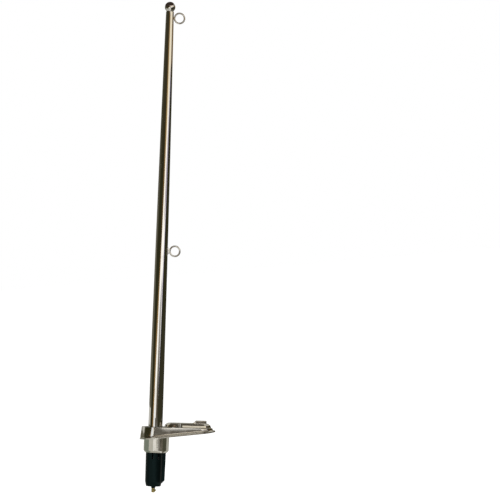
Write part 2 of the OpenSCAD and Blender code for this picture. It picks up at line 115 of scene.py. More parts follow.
# Socket
SOCKET_FLANGE_T, SOCKET_R, SOCKET_LOW_R, SOCKET_LEN = 2.5, 15.8, 15.1, 60.6
SOCKET_FLOOR_T, SOCKET_BEVEL_H, SOCKET_BEVEL_W = 9.8, 8, 1.8
SIDE_RIB_H, SIDE_RIB_LOW_H, SIDE_RIB_W, SIDE_RIB_LIFT, SIDE_RIB_SLOPE = 5, 4.4, 8.4, 10.5, 4.5
TAB_SLOT_W, TAB_SLOT_PITCH, TAB_SLOT_SHOW, TAB_SLOT_HIDDEN = 2.3, 10.4, 12, 6
FOOT_BOSS_R, FOOT_BOSS_H = 4.6, 3.4
STUD_R, BLOCK_R, BLOCK_H = 1.6, 3.2, 7.8
CLAMP_R, CLAMP_HEAD_R, CLAMP_HEAD_T = 1.1, 1.9, 1.5

# Pole
FOOT_R, TUBE_TOP_R, TUBE_WALL, TAPER_POWER = 12.7, 7.1, 1.2, 1.5
BALL_R, NECK_R, NECK_H, SPIGOT_LEN = 9.5, 6.3, 1.4, 16
SHANK_R, PLUG_DEPTH, PLUG_IN_TUBE, COLLAR_STEP = 10, 52, 22, 0.6
KEY_W, KEY_H, KEY_LIFT, PLUG_BEVEL = 4, 2.4, 6, 2
TAB_T, TAB_HALF, TAB_END_HALF = 2.4, 7, 2.2
WELD_R = 2.6
PRESS_GAP, PLUG_GAP, SLIDE_GAP = 0.05, 0.1, 0.3

# Levels along the socket's axis, from the top face
DECK_W = -(BASE_MID_H + PIVOT_SPAN * math.sin(RAKE)) / math.cos(RAKE)
BARREL_END_W = DECK_W - BARREL_LEN
LEDGE_W = -LEDGE_DEPTH
SOCKET_END_W = BARREL_END_W - SOCKET_LEN
BORE_FLOOR_W = SOCKET_END_W + SOCKET_FLOOR_T
FOOT_W = SOCKET_END_W - FOOT_BOSS_H
COLLAR_FOOT_W = LEDGE_W + SOCKET_FLANGE_T + SLIDE_GAP

RING_LOW, RING_HIGH = corners("upper_ring")
WIRE_R = RING_HIGH.y
RING_R = (RING_HIGH.z - RING_LOW.z) / 2 - WIRE_R
BALL_HIGH = corners("finial_ball")[1]
BALL_W = along_pole(Vector((BALL_HIGH.x - BALL_R, 0, BALL_HIGH.z - BALL_R))).z
TUBE_LEN = BALL_W - math.sqrt(BALL_R ** 2 - NECK_R ** 2) - NECK_H


def tube_r(w):
    """Outer radius of the tube at a height: the taper grows towards the top."""
    return FOOT_R - (FOOT_R - TUBE_TOP_R) * (w / TUBE_LEN) ** TAPER_POWER


# ---------------------------------------------------------------- modelling helpers
ROUND = 128
MERGE = 1e-4


def only(*pieces):
    """Selects these pieces and nothing else; the last one is active."""
    bpy.ops.object.select_all(action="DESELECT")
    for piece in pieces:
        piece.select_set(True)
    bpy.context.view_layer.objects.active = pieces[-1]


def shape(piece, *steps):
    """Runs the steps on the piece in edit mode. A step is a function with no arguments."""
    only(piece)
    bpy.ops.object.mode_set(mode="EDIT")
    for step in steps:
        step()
    bpy.ops.object.mode_set(mode="OBJECT")
    return piece


def pick(piece, test, kind="faces"):
    """Selects, in edit mode, the faces, edges or vertices that pass a test, and only those."""
    modes = {"faces": "FACE", "edges": "EDGE", "verts": "VERT"}
    bpy.ops.mesh.select_mode(type=modes[kind])
    bpy.ops.mesh.select_all(action="DESELECT")
    mesh = bmesh.from_edit_mesh(piece.data)
    mesh.normal_update()
    for element in getattr(mesh, kind):
        element.select_set(bool(test(element)))
    mesh.select_flush_mode()
    bmesh.update_edit_mesh(piece.data)


def named(name):
    """Names the piece that was just added, and its mesh."""
    piece = bpy.context.object
    piece.name = piece.data.name = name
    return piece


def turned(name, profile, sides=ROUND):
    """A closed turned piece, from (radius, height) steps listed from its lower end upwards."""
    radius, height = profile[0]
    bpy.ops.object.select_all(action="DESELECT")
    bpy.ops.mesh.primitive_circle_add(
        vertices=sides, radius=radius, fill_type="NGON", location=(0, 0, height),
        rotation=(0, 0, math.pi / sides))
    piece = named(name)
    bpy.ops.object.transform_apply(location=True, rotation=True, scale=True)

    def grow():
        at_radius, at_height = radius, height
        for next_radius, next_height in profile[1:]:
            bpy.ops.mesh.extrude_region_move(
                TRANSFORM_OT_translate={"value": (0, 0, next_height - at_height)})
            ratio = next_radius / at_radius
            bpy.ops.transform.resize(value=(ratio, ratio, 1), center_override=(0, 0, next_height))
            at_radius, at_height = next_radius, next_height

    def tidy():
        bpy.ops.mesh.select_all(action="SELECT")
        bpy.ops.mesh.remove_doubles(threshold=MERGE)
        bpy.ops.mesh.normals_make_consistent(inside=False)

    return shape(piece, lambda: bpy.ops.mesh.select_all(action="SELECT"), grow, tidy)


def spun(name, outline, sides=ROUND):
    """A ring-shaped piece: a closed outline of (radius, height) points, spun about the axis."""
    bpy.ops.object.select_all(action="DESELECT")
    bpy.ops.mesh.primitive_plane_add(size=1, location=(0, 0, 0))
    piece = named(name)

    def draw():
        bpy.ops.mesh.select_mode(type="VERT")
        pick(piece, lambda vert: vert.index > 0, "verts")
        bpy.ops.mesh.delete(type="VERT")
        mesh = bmesh.from_edit_mesh(piece.data)
        mesh.verts.ensure_lookup_table()
        mesh.verts[0].co = Vector((outline[0][0], 0, outline[0][1]))
        bmesh.update_edit_mesh(piece.data)
        bpy.ops.mesh.select_all(action="SELECT")
        for (r0, h0), (r1, h1) in zip(outline, outline[1:]):
            bpy.ops.mesh.extrude_region_move(
                TRANSFORM_OT_translate={"value": (r1 - r0, 0, h1 - h0)})
        bpy.ops.mesh.select_all(action="SELECT")
        bpy.ops.mesh.edge_face_add()
        bpy.ops.mesh.delete(type="ONLY_FACE")
        bpy.ops.mesh.select_all(action="SELECT")

    def spin():
        bpy.ops.mesh.spin(steps=sides, angle=2 * math.pi, center=(0, 0, 0), axis=(0, 0, 1))
        bpy.ops.mesh.select_all(action="SELECT")
        bpy.ops.mesh.remove_doubles(threshold=MERGE)
        bpy.ops.mesh.normals_make_consistent(inside=False)

    return shape(piece, draw, spin)


def stretch(piece, from_x, to_x):
    """Pulls the halves of a turned piece apart, so that it fills the stadium between two axes."""
    def move_half(side, distance):
        pick(piece, lambda vert: vert.co.x * side > 0, "verts")
        bpy.ops.transform.translate(value=(distance, 0, 0))

    return shape(piece, lambda: move_half(1, to_x), lambda: move_half(-1, from_x))


def cut_off(piece, point, normal):
    """Cuts the piece along a plane, drops what lies on the normal's side, and closes the cut."""
    def slice_it():
        bpy.ops.mesh.select_all(action="SELECT")
        bpy.ops.mesh.bisect(plane_co=point, plane_no=normal, use_fill=True, clear_outer=True)

    return shape(piece, slice_it)


def modify(piece, kind, **settings):
    """Adds a modifier with these settings and applies it."""
    only(piece)
    modifier = piece.modifiers.new(kind.title(), kind)
    for key, value in settings.items():
        setattr(modifier, key, value)
    bpy.ops.object.modifier_apply(modifier=modifier.name)
    return piece


def combine(piece, operation, *others):
    """Joins the other pieces to this one, or cuts them out of it, and removes them."""
    for other in others:
        modify(piece, "BOOLEAN", operation=operation, solver="EXACT", object=other)
        bpy.data.objects.remove(other, do_unlink=True)
    return piece


def join(piece, *others):
    """Melts the other pieces into this one."""
    return combine(piece, "UNION", *others)


def cut(piece, *others):
    """Cuts the other pieces out of this one."""
    return combine(piece, "DIFFERENCE", *others)


def apply_place(piece, matrix):
    """Moves a piece's mesh by a matrix and leaves its object at the origin."""
    only(piece)
    piece.matrix_world = matrix @ piece.matrix_world
    bpy.ops.object.transform_apply(location=True, rotation=True, scale=True)
    return piece


def shift(piece, x=0, y=0, z=0):
    """Moves a piece, in the units it is modelled in."""
    return apply_place(piece, Matrix.Translation((x, y, z)))


def round_edges(piece, test, width, segments=3):
    """Rounds the edges that pass a test."""
    def bevel():
        pick(piece, test, "edges")
        bpy.ops.mesh.bevel(offset=width, segments=segments, profile=0.5, affect="EDGES",
                           clamp_overlap=True)

    return shape(piece, bevel)


def arc(centre, radius, start, end, steps):
    """Points of an arc in the profile's plane; angles in degrees."""
    turns = [math.radians(start + (end - start) * i / steps) for i in range(steps + 1)]
    return [(centre[0] + radius * math.cos(t), centre[1] + radius * math.sin(t)) for t in turns]


def rod(name, radius, low, high, sides=ROUND):
    """A plain round cutter."""
    return turned(name, [(radius, low), (radius, high)], sides)


def block(name, low, high):
    """A box between two corners, for cutting or as a start."""
    low, high = Vector(low), Vector(high)
    bpy.ops.object.select_all(action="DESELECT")
    bpy.ops.mesh.primitive_cube_add(size=1, location=(low + high) / 2)
    piece = named(name)
    piece.scale = high - low
    bpy.ops.object.transform_apply(location=True, rotation=True, scale=True)
    return piece


def copied(piece, name):
    """A copy of a modelled piece, with its own mesh."""
    only(piece)
    bpy.ops.object.duplicate()
    return named(name)


def finish_piece(piece, place, body, material, slot, *nodes, smooth=32):
    """Places a modelled piece in the frame, smooths it, gives it its material, hangs it on its body
    and hides the CAD nodes it stands for.
    """
    apply_place(piece, place)
    only(piece)
    bpy.ops.object.shade_smooth_by_angle(angle=math.radians(smooth))
    modify(piece, "WEIGHTED_NORMAL", keep_sharp=True, weight=60)
    piece.data.materials.clear()
    piece.data.materials.append(material)
    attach(piece, body)
    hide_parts(*nodes)
    return piece


# ---------------------------------------------------------------- materials
class Signal:
    """A node socket that takes part in arithmetic: an expression adds its Math nodes."""

    def __init__(self, finish, socket):
        self.finish, self.socket = finish, socket

    def _math(self, operation, first, second):
        return self.finish.node("ShaderNodeMath", {"operation": operation}, {0: first, 1: second})

    def __add__(self, other):
        return self._math("ADD", self, other)

    def __radd__(self, other):
        return self._math("ADD", other, self)

    def __sub__(self, other):
        return self._math("SUBTRACT", self, other)

    def __rsub__(self, other):
        return self._math("SUBTRACT", other, self)

    def __mul__(self, other):
        return self._math("MULTIPLY", self, other)

    def __rmul__(self, other):
        return self._math("MULTIPLY", other, self)


class Finish:
    """A material with one Principled shader, built from plain expressions."""

    def __init__(self, name, **constants):
        self.material = bpy.data.materials.new(name)
        self.material.use_nodes = True
        self.tree = self.material.node_tree
        self.shader = self.tree.nodes["Principled BSDF"]
        for socket, value in constants.items():
            self.shader.inputs[socket.replace("_", " ")].default_value = value
        self.place = self.node("ShaderNodeTexCoord", {}, {}, "Object")

    def node(self, kind, settings, inputs, output=0):
        """One node: its settings first, then the values or links of its sockets."""
        node = self.tree.nodes.new(kind)
        for key, value in settings.items():
            if key == "stops":
                ramp = node.color_ramp
                while len(ramp.elements) < len(value):
                    ramp.elements.new(0.5)
                for element, (position, colour) in zip(ramp.elements, value):
                    element.position, element.color = position, (*colour, 1)
            else:
                setattr(node, key, value)
        for key, value in inputs.items():
            if isinstance(value, Signal):
                self.tree.links.new(value.socket, node.inputs[key])
            else:
                node.inputs[key].default_value = value
        return Signal(self, node.outputs[output])

    def noise(self, scale, detail=2, place=None, roughness=0.5):
        """Soft noise from 0 to 1; scale is in features per metre."""
        return self.node("ShaderNodeTexNoise", {}, {
            "Vector": place or self.place, "Scale": scale, "Detail": detail,
            "Roughness": roughness})

    def turned_to(self, tilt, stretch=(1, 1, 1)):
        """Coordinates whose third axis runs along a leaning piece, stretched along each axis."""
        return self.node("ShaderNodeMapping", {"vector_type": "POINT"}, {
            "Vector": self.place, "Rotation": (0, -tilt, 0), "Scale": stretch})

    def between(self, low, high, signal):
        """Numbers from low to high as the signal goes from 0 to 1."""
        return low + (high - low) * signal

    def mask(self, signal, low, high):
        """0 below low, 1 above high, smooth between."""
        return self.node("ShaderNodeMapRange", {"interpolation_type": "SMOOTHSTEP"}, {
            "Value": signal, "From Min": low, "From Max": high})

    def blend(self, factor, first, second):
        """A colour between two colours."""
        colours = {6: (*first, 1) if isinstance(first, tuple) else first,
                   7: (*second, 1) if isinstance(second, tuple) else second}
        return self.node("ShaderNodeMix", {"data_type": "RGBA"}, {0: factor, **colours}, 2)

    def bumped(self, *layers):
        """Surface relief from (height, depth in metres) layers, each on the one before."""
        normal = None
        for height, depth in layers:
            sockets = {"Height": height, "Distance": depth, "Strength": 1.0}
            if normal:
                sockets["Normal"] = normal
            normal = self.node("ShaderNodeBump", {}, sockets)
        return normal

    def wear(self, **sockets):
        """Links signals to the shader's sockets and returns the finished material."""
        for socket, signal in sockets.items():
            self.tree.links.new(signal.socket, self.shader.inputs[socket.replace("_", " ")])
        return self.material


def mirror_tube():
    """Mirror-polished tube: long polishing lines, faint ripples and wiped smudges."""
    steel = Finish("mirror_tube", Metallic=1.0)
    lines = steel.noise(900, 3, steel.turned_to(RAKE, (1, 1, 0.02)))
    ripple = steel.noise(26, 1, steel.turned_to(RAKE, (1, 1, 0.12)))
    smudge = steel.mask(steel.noise(38, 4), 0.5, 0.75)
    tint = steel.noise(14, 2)
    colour = steel.blend(tint, (0.63, 0.615, 0.57), (0.70, 0.69, 0.66))
    return steel.wear(
        Base_Color=steel.blend(smudge * 0.25, colour, (0.52, 0.50, 0.45)),
        Roughness=steel.between(0.045, 0.10, smudge) + (lines - 0.5) * 0.03,
        Normal=steel.bumped((ripple, 0.0003), (lines, 0.0000012)))


def polished_casting():
    """Polished cast steel: soft waves left by the buffing wheel, fine pits and a duller bloom."""
    steel = Finish("polished_casting", Metallic=1.0)
    waves = steel.noise(34, 2)
    grain = steel.noise(700, 3)
    bloom = steel.mask(steel.noise(75, 4), 0.42, 0.72)
    pits = steel.mask(steel.noise(1400, 1), 0.72, 0.8)
    colour = steel.blend(bloom, (0.60, 0.585, 0.53), (0.565, 0.55, 0.495))
    return steel.wear(
        Base_Color=steel.blend(pits * 0.5, colour, (0.30, 0.28, 0.24)),
        Roughness=steel.between(0.11, 0.19, bloom) + (grain - 0.5) * 0.05,
        Normal=steel.bumped((waves, 0.0003), (grain, 0.000004)))


def ring_wire():
    """Drawn and polished wire, with lines round the pole's axis and a slightly darker tone."""
    steel = Finish("ring_wire", Metallic=1.0)
    lines = steel.noise(1500, 2, steel.turned_to(RAKE, (1, 0.15, 1)))
    smudge = steel.mask(steel.noise(260, 3), 0.45, 0.7)
    return steel.wear(
        Base_Color=steel.blend(smudge, (0.60, 0.585, 0.54), (0.50, 0.485, 0.44)),
        Roughness=steel.between(0.10, 0.2, smudge),
        Normal=steel.bumped((lines, 0.000004)))


def weld_bead():
    """Weld metal: straw and brown heat colours over a rippled, duller surface."""
    steel = Finish("weld_bead", Metallic=1.0)
    ripples = steel.noise(900, 2)
    heat = steel.noise(420, 2)
    tint = steel.node("ShaderNodeValToRGB", {"stops": [
        (0.30, (0.46, 0.44, 0.40)), (0.48, (0.45, 0.36, 0.22)), (0.60, (0.30, 0.20, 0.13)),
        (0.75, (0.24, 0.25, 0.31))]}, {"Fac": heat})
    return steel.wear(
        Base_Color=tint, Roughness=steel.between(0.22, 0.42, ripples),
        Normal=steel.bumped((ripples, 0.00006)))


def turned_steel():
    """Screw steel with fine turning marks, duller than the casting."""
    steel = Finish("turned_steel", Metallic=1.0)
    marks = steel.noise(2200, 2, steel.turned_to(RAKE, (0.2, 0.2, 1)))
    stain = steel.noise(300, 3)
    return steel.wear(
        Base_Color=steel.blend(stain, (0.42, 0.41, 0.39), (0.56, 0.55, 0.53)),
        Roughness=steel.between(0.26, 0.4, marks),
        Normal=steel.bumped((marks, 0.00001)))


def turned_brass():
    """Turned brass, dulled: olive tarnish in patches, brighter on the turning marks."""
    brass = Finish("turned_brass", Metallic=1.0)
    marks = brass.noise(2600, 2, brass.turned_to(RAKE, (0.15, 0.15, 1)))
    tarnish = brass.mask(brass.noise(420, 4), 0.35, 0.7)
    return brass.wear(
        Base_Color=brass.blend(tarnish, (0.52, 0.42, 0.18), (0.25, 0.21, 0.08)),
        Roughness=brass.between(0.24, 0.46, tarnish) + (marks - 0.5) * 0.08,
        Normal=brass.bumped((marks, 0.000012)))


def satin_plastic():
    """Moulded black plastic of the socket: satin, with a fine spark-eroded grain."""
    plastic = Finish("satin_plastic", Specular_IOR_Level=0.15, Specular_Tint=(0.55, 1.0, 1.0, 1))
    grain = plastic.noise(2400, 2)
    flow = plastic.noise(46, 3, plastic.turned_to(RAKE, (1, 1, 0.3)))
    rubbed = plastic.mask(plastic.noise(150, 4), 0.55, 0.8)
    return plastic.wear(
        Base_Color=plastic.blend(rubbed, (0.0005, 0.0018, 0.0021), (0.0016, 0.0032, 0.0035)),
        Roughness=plastic.between(0.25, 0.33, flow) + (grain - 0.5) * 0.08,
        Normal=plastic.bumped((flow, 0.00012), (grain, 0.000016)))


def gloss_plastic():
    """Glossy black plastic of the plug, with light rub marks round the shank."""
    plastic = Finish("gloss_plastic", Specular_IOR_Level=0.5)
    rubs = plastic.noise(900, 3, plastic.turned_to(RAKE, (1, 1, 0.08)))
    haze = plastic.mask(plastic.noise(120, 3), 0.45, 0.75)
    return plastic.wear(
        Base_Color=plastic.blend(haze, (0.008, 0.010, 0.011), (0.016, 0.018, 0.019)),
        Roughness=plastic.between(0.09, 0.22, haze) + (rubs - 0.5) * 0.04,
        Normal=plastic.bumped((rubs, 0.000006)))


MIRROR_TUBE = mirror_tube()
POLISHED_CASTING = polished_casting()
RING_WIRE = ring_wire()
WELD_BEAD = weld_bead()
TURNED_STEEL = turned_steel()
TURNED_BRASS = turned_brass()
SATIN_PLASTIC = satin_plastic()
GLOSS_PLASTIC = gloss_plastic()


# ---------------------------------------------------------------- deck base
def wedge():
    """Lip, fillet and wall round the stadium; the wall's rings tilt stepwise to the raked top."""
    wall_r, foot_h = LIP_R - LIP_REACH, LIP_T + WALL_FILLET_R
    low_corner = (LIP_R - LIP_ROUND_LOW, LIP_ROUND_LOW)
    high_corner = (LIP_R - LIP_ROUND, LIP_T - LIP_ROUND)
    fillet = arc((wall_r + WALL_FILLET_R, foot_h), WALL_FILLET_R, 258, 180, 10)
    profile = ([(LIP_R - LIP_ROUND_LOW, 0)] + arc(low_corner, LIP_ROUND_LOW, -60, 0, 2)
               + arc(high_corner, LIP_ROUND, 0, 75, 4) + fillet)
    piece = stretch(turned("deck_base", profile, 192), -PIVOT_SPAN, PIVOT_SPAN)

    def raise_wall():
        rise = (BASE_MID_H - foot_h) / WALL_STEPS
        pick(piece, lambda face: face.normal.z > 0.9 and len(face.verts) > ROUND)
        for step in range(1, WALL_STEPS + 1):
            tilt_before, tilt = RAKE * (step - 1) / WALL_STEPS, RAKE * step / WALL_STEPS
            inset = WALL_CROWN * (step ** 2 - (step - 1) ** 2) / WALL_STEPS ** 2
            centre = (0, 0, foot_h + rise * step)
            along = math.cos(tilt_before) / math.cos(tilt)
            bpy.ops.mesh.extrude_region_move(TRANSFORM_OT_translate={"value": (0, 0, rise)})
            bpy.ops.transform.rotate(value=-(tilt - tilt_before), orient_axis="Y",
                                     center_override=centre)
            bpy.ops.transform.resize(
                value=(along * (1 - inset / (PIVOT_SPAN + wall_r)), 1 - inset / wall_r, along),
                center_override=centre)

    def flare_socket_end():
        """The end round the socket leans with the pole and runs straight down into the lip."""
        def lean(test, distance):
            pick(piece, lambda vert: vert.co.x < -PIVOT_SPAN - 0.5 and test(vert), "verts")
            bpy.ops.transform.translate(value=(distance, 0, 0))

        def level(vert):
            """0 at the wall's foot, 1 at the top face."""
            top = PIVOT.z - vert.co.x * math.tan(RAKE)
            return (vert.co.z - foot_h) / (top - foot_h)

        for radius, height in fillet[:-1]:
            straight = wall_r + SOCKET_FLARE + (foot_h - height) * FLARE_SLOPE
            lean(lambda vert: abs(vert.co.z - height) < 0.02, -max(0, straight - radius))
        for i in range(WALL_STEPS + 1):
            share = i / WALL_STEPS
            lean(lambda vert: vert.co.z > foot_h - 0.02 and abs(level(vert) - share) < 0.04,
                 -SOCKET_FLARE * (1 - share) ** FLARE_CURVE + SOCKET_LEAN * share)

    return round_edges(shape(piece, raise_wall, flare_socket_end), on_top, EDGE)


def on_top(edge):
    """Is this edge on the rim of the raked top face?"""
    return all(abs((vert.co - PIVOT).dot(POLE_AXIS)) < 0.01 for vert in edge.verts) and any(
        face.normal.dot(POLE_AXIS) < 0.99 for face in edge.link_faces)


def in_base(piece, place):
    """Moves a cutter or a piece from one of the leaning places to the deck's, in millimetres."""
    return apply_place(piece, Matrix.Scale(1 / MM, 4) @ place)


def pocket():
    """The hollow under the flange, clear of the barrel, the pivot's boss and the screw bosses."""
    piece = stretch(rod("pocket", LIP_R - RIM_W, -1, PIVOT_SPAN), -PIVOT_SPAN, PIVOT_SPAN)
    cut_off(piece, PIVOT - POLE_AXIS * SHELL_T, POLE_AXIS)
    cut(piece,
        in_base(shift(rod("web", BARREL_R + BARREL_WEB, -60, 60), BARREL_OFFSET), SOCKET_AXIS),
        in_base(rod("boss", PIVOT_BOSS_R, -60, 60), TOP_FACE))
    for side in (-1, 1):
        cut(piece, shift(rod("boss", SCREW_HOLE_R + 3, -60, 60), y=side * (COVER_R - SCREW_INSET)))
    return piece


def barrel():
    """The steel barrel under the flange, bevelled at its lower end and flared at its root."""
    end, bevel_top = BARREL_END_W, BARREL_END_W + BARREL_BEVEL_H
    profile = [(BARREL_R - BARREL_BEVEL - 0.4, end), (BARREL_R - BARREL_BEVEL, end + 0.3),
               (BARREL_R - 0.35, bevel_top - 0.6), (BARREL_R - 0.1, bevel_top),
               (BARREL_R, bevel_top + 0.5), (BARREL_R, DECK_W - 3),
               (BARREL_R + BARREL_FLARE / 2, -SHELL_T)]
    piece = in_base(shift(turned("barrel", profile, 160), BARREL_OFFSET), SOCKET_AXIS)
    return cut_off(piece, PIVOT - POLE_AXIS * SHELL_T, POLE_AXIS)


def recess():
    """The hole in the top face: rounded rim, ledge, and the bore for the socket's body."""
    rim = [(HOLE_R + EDGE + 0.4, 2), (HOLE_R + EDGE + 0.4, 0.4)] + [
        (HOLE_R + EDGE * (1 - math.sin(turn)), -EDGE * (1 - math.cos(turn)))
        for turn in (i * math.pi / 8 for i in range(5))]
    inside = [(HOLE_R, LEDGE_W), (SOCKET_R + SLIDE_GAP, LEDGE_W),
              (SOCKET_R + SLIDE_GAP, BARREL_END_W - 1)]
    piece = turned("recess", list(reversed(rim + inside)), 160)
    rib_slot = block("rib_slot", (0, -SIDE_RIB_W / 2 - SLIDE_GAP, BARREL_END_W - 1), (
        SOCKET_R + SIDE_RIB_H + SLIDE_GAP, SIDE_RIB_W / 2 + SLIDE_GAP, LEDGE_W - SLIDE_GAP))
    return in_base(join(piece, rib_slot), SOCKET_AXIS)


def screw_hole(side):
    """One countersunk deck screw hole."""
    depth = COUNTERSINK_R - SCREW_HOLE_R
    profile = [(SCREW_HOLE_R, -1), (SCREW_HOLE_R, BASE_MID_H - depth),
               (COUNTERSINK_R + 1, BASE_MID_H + 1), (COUNTERSINK_R + 1, BASE_MID_H + 20)]
    return shift(turned("screw_hole", profile, 64), y=side * (COVER_R - SCREW_INSET))


def pivot_bore():
    """The pivot screw's hole, with its counterbore from below."""
    low = -BASE_MID_H / math.cos(RAKE)
    profile = [(HEAD_HOLE_R, low - 30), (HEAD_HOLE_R, low + HEAD_HOLE_DEPTH),
               (PIVOT_HOLE_R, low + HEAD_HOLE_DEPTH), (PIVOT_HOLE_R, 20)]
    return in_base(turned("pivot_bore", profile, 64), TOP_FACE)


def make_base():
    """The deck base in one casting: hollow wedge, barrel, socket recess and its screw holes."""
    piece = cut(wedge(), pocket())
    join(piece, barrel())
    cut(piece, recess(), screw_hole(-1), screw_hole(1), pivot_bore())
    return finish_piece(piece, DECK, "base", POLISHED_CASTING, "polished_casting", "base_casting")


# ---------------------------------------------------------------- swing cover
def cover_shell():
    """The cover's outside: thin rim, leaning side, wide bevel and a flat top."""
    profile = (
        [(COVER_R - 0.25, 0), (COVER_R, 0.25), (COVER_R, COVER_RIM_T - 0.15),
         (COVER_R - 0.12, COVER_RIM_T), (COVER_R - 0.4, COVER_RIM_T + 0.2)]
        + [(COVER_R - COVER_SIDE_IN + 0.14, COVER_SIDE_H - 0.5),
           (COVER_R - COVER_SIDE_IN, COVER_SIDE_H),
           (COVER_R - COVER_SIDE_IN - 0.35, COVER_SIDE_H + 0.35)]
        + [(COVER_TOP_R + 0.75, COVER_H - 0.42), (COVER_TOP_R + 0.35, COVER_H - 0.16),
           (COVER_TOP_R, COVER_H - 0.03), (COVER_TOP_R - 0.3, COVER_H)])
    return stretch(turned("swing_cover", profile, 192), 0, PIVOT_SPAN)


def cover_hollow():
    """The space inside the cover, less the pivot's boss and the walls round the notches."""
    inner_r = COVER_R - COVER_SIDE_IN - COVER_WALL
    profile = [(inner_r, -1), (inner_r, COVER_SIDE_H - COVER_WALL / 2),
               (COVER_TOP_R - COVER_WALL / 2, COVER_H - COVER_WALL)]
    piece = stretch(turned("hollow", profile), 0, PIVOT_SPAN)
    cut(piece, rod("boss", PIVOT_R + 3, -2, COVER_H))
    for side in (-1, 1):
        cut(piece, shift(rod("boss", NOTCH_R + COVER_WALL, -2, COVER_H), y=side * COVER_R))
    return piece


def thumb_rib():
    """The rib for the thumb: round-ended, domed on top, with a ramp at the near end."""
    half = RIB_W / 2
    profile = [(half, -COVER_WALL / 2), (half, 0)] + arc(
        (half - RIB_DOME_R, RIB_H - RIB_DOME_R), RIB_DOME_R, 0, 80, 6)
    piece = turned("thumb_rib", profile, 64)
    stretch(piece, half - RIB_LEN / 2, RIB_LEN / 2 - half)
    shift(piece, x=RIB_START + RIB_LEN / 2)
    ramp_end = RIB_START + RIB_RAMP_LEN

    def slope_near_end():
        bpy.ops.mesh.select_all(action="SELECT")
        bpy.ops.mesh.bisect(plane_co=(ramp_end, 0, 0), plane_no=(1, 0, 0))
        pick(piece, lambda vert: vert.co.x < ramp_end - 0.05, "verts")
        bpy.ops.transform.resize(value=(1, 1, RIB_LOW_SHARE),
                                 center_override=(0, 0, -COVER_WALL / 2))

    return shift(shape(piece, slope_near_end), z=COVER_H)


def notch_rim(edge):
    """Is this edge where a notch's wall meets the cover's outside?"""
    def on_wall(face):
        middle = face.calc_center_median()
        side = 1 if middle.y > 0 else -1
        reach = Vector((middle.x, middle.y - side * COVER_R))
        return abs(face.normal.z) < 0.05 and abs(reach.length - NOTCH_R) < 0.12

    walls = [on_wall(face) for face in edge.link_faces]
    return len(walls) == 2 and walls[0] != walls[1] and max(v.co.z for v in edge.verts) > 0.05


def rib_foot(edge):
    """Is this edge where the thumb rib meets the cover's top?"""
    return all(abs(v.co.z - COVER_H) < 0.01 and abs(v.co.y) < RIB_W / 2 + 0.1
               and RIB_START - 0.5 < v.co.x < RIB_START + RIB_LEN + 0.5 for v in edge.verts)


def make_cover():
    """The swing cover, with its notches, rib and thread, on the raked top face."""
    piece = cut(cover_shell(), cover_hollow())
    join(piece, thumb_rib())
    for side in (-1, 1):
        cut(piece, shift(rod("notch", NOTCH_R, -2, COVER_H + 2, 96), y=side * COVER_R))
    thread_top = COVER_H - COVER_WALL - 0.6
    cut(piece, rod("thread", PIVOT_R + PRESS_GAP, -1, thread_top + PRESS_GAP, 64))
    round_edges(piece, notch_rim, COVER_EDGE)
    round_edges(piece, rib_foot, COVER_EDGE)
    place = TOP_FACE @ Matrix.Translation((0, 0, COVER_GAP))
    return finish_piece(piece, place, "cover", POLISHED_CASTING, "polished_casting", "cover")


# ---------------------------------------------------------------- socket and terminal
def socket_outside():
    """Flange, drafted body, bevelled foot and the boss under it."""
    foot = SOCKET_END_W
    profile = (
        [(FOOT_BOSS_R - 1.3, FOOT_W), (FOOT_BOSS_R - 1, FOOT_W + 0.3),
         (FOOT_BOSS_R - 0.1, foot - 0.4), (FOOT_BOSS_R + 0.5, foot)]
        + [(SOCKET_LOW_R - SOCKET_BEVEL_W - 0.5, foot), (SOCKET_LOW_R - SOCKET_BEVEL_W, foot + 0.5)]
        + [(SOCKET_LOW_R - 0.15, foot + SOCKET_BEVEL_H - 0.5),
           (SOCKET_LOW_R, foot + SOCKET_BEVEL_H + 0.4)]
        + [(SOCKET_R, LEDGE_W), (HOLE_R - SLIDE_GAP, LEDGE_W)]
        + [(HOLE_R - SLIDE_GAP, LEDGE_W + SOCKET_FLANGE_T - 0.4),
           (HOLE_R - SLIDE_GAP - 0.4, LEDGE_W + SOCKET_FLANGE_T)])
    return turned("socket_shell", profile, 144)


def socket_side_rib():
    """The rib down the socket's side, sloped at its lower end."""
    low = SOCKET_END_W + SIDE_RIB_LIFT
    high = LEDGE_W - 2 * SLIDE_GAP
    piece = block("side_rib", (SOCKET_LOW_R - 2, -SIDE_RIB_W / 2, low - SIDE_RIB_SLOPE),
                  (SOCKET_R + SIDE_RIB_H, SIDE_RIB_W / 2, high))

    def lean():
        pick(piece, lambda edge: edge.verts[0].co.x > SOCKET_R and edge.verts[1].co.x > SOCKET_R
             and max(v.co.z for v in edge.verts) < low, "edges")
        bpy.ops.transform.translate(value=(SOCKET_LOW_R - SOCKET_R - SIDE_RIB_H, 0, 0))

    def step():
        bpy.ops.mesh.select_all(action="SELECT")
        bpy.ops.mesh.bisect(plane_co=(0, 0, low), plane_no=(0, 0, 1))
        pick(piece, lambda vert: abs(vert.co.z - low) < 0.01 and vert.co.x > SOCKET_LOW_R - 1,
             "verts")
        mesh = bmesh.from_edit_mesh(piece.data)
        out = max(vert.co.x for vert in mesh.verts if vert.select)
        bpy.ops.transform.translate(value=(SOCKET_LOW_R + SIDE_RIB_LOW_H - out, 0, 0))

    shape(piece, lean, step)
    return round_edges(piece, lambda edge: all(v.co.x > SOCKET_LOW_R - 1 for v in edge.verts)
                       and edge.calc_face_angle(0) > 0.3, 0.7)


